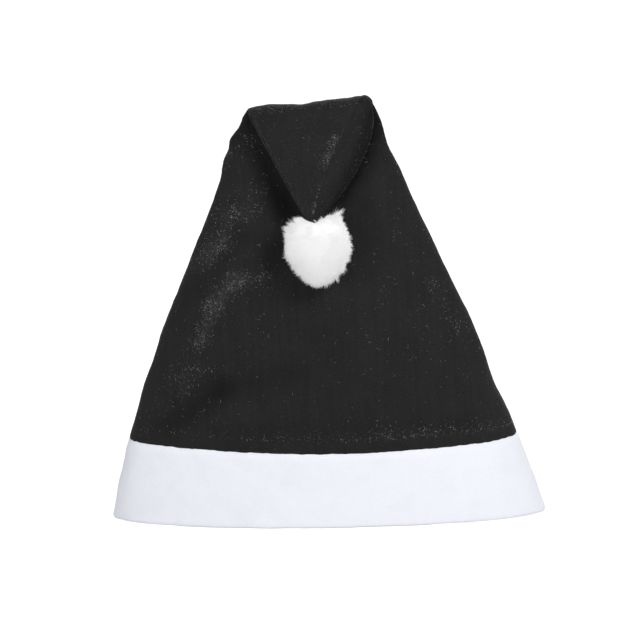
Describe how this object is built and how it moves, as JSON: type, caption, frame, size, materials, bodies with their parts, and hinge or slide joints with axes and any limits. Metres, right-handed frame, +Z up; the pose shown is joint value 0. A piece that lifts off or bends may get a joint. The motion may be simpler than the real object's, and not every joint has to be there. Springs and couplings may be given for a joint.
{
  "type": "new year party hat",
  "caption": "Floppy cone-shaped felt party hat in black, half open on its white band, with the tip folded over the front and a white plush pompom",
  "frame": {"origin": "middle of the head opening, on the plane that the brim stands on", "axes": "+Z up through the crown, -Y the front that the tip and pompom hang over, +X the viewer's right"},
  "size_m": [0.2712, 0.095, 0.2659],
  "materials": {
    "black_felt": "matte",
    "white_felt": "matte",
    "white_plush": "matte",
    "fibre_fill": "matte",
    "black_thread": "matte",
    "white_thread": "matte"
  },
  "bodies": {
    "crown": {"crown_front": "black_felt", "crown_back": "black_felt", "band": "white_felt", "side_seam_thread_left": "black_thread", "side_seam_thread_right": "black_thread", "band_seam_thread": "white_thread", "band_join_thread": "white_thread"},
    "tip": {"tip_under": "black_felt", "tip_over": "black_felt", "tip_seam_thread_left": "black_thread", "tip_seam_thread_right": "black_thread", "pompom_tack_thread": "white_thread"},
    "pompom": {"pompom_cover": "white_plush", "pompom_core": "fibre_fill", "pompom_gather_thread": "white_thread"}
  },
  "joints": [
    {"name": "tip_fold", "type": "hinge", "parent": "crown", "child": "tip", "pos_m": [-0.0098, -0.0044, 0.26176], "axis": [-0.9954, 0, -0.0958], "range_deg": [0, 160]},
    {"name": "pompom_swing", "type": "hinge", "parent": "tip", "child": "pompom", "pos_m": [-0.0069, -0.02992, 0.18851], "axis": [-1, 0, 0], "range_deg": [0, 60]}
  ]
}
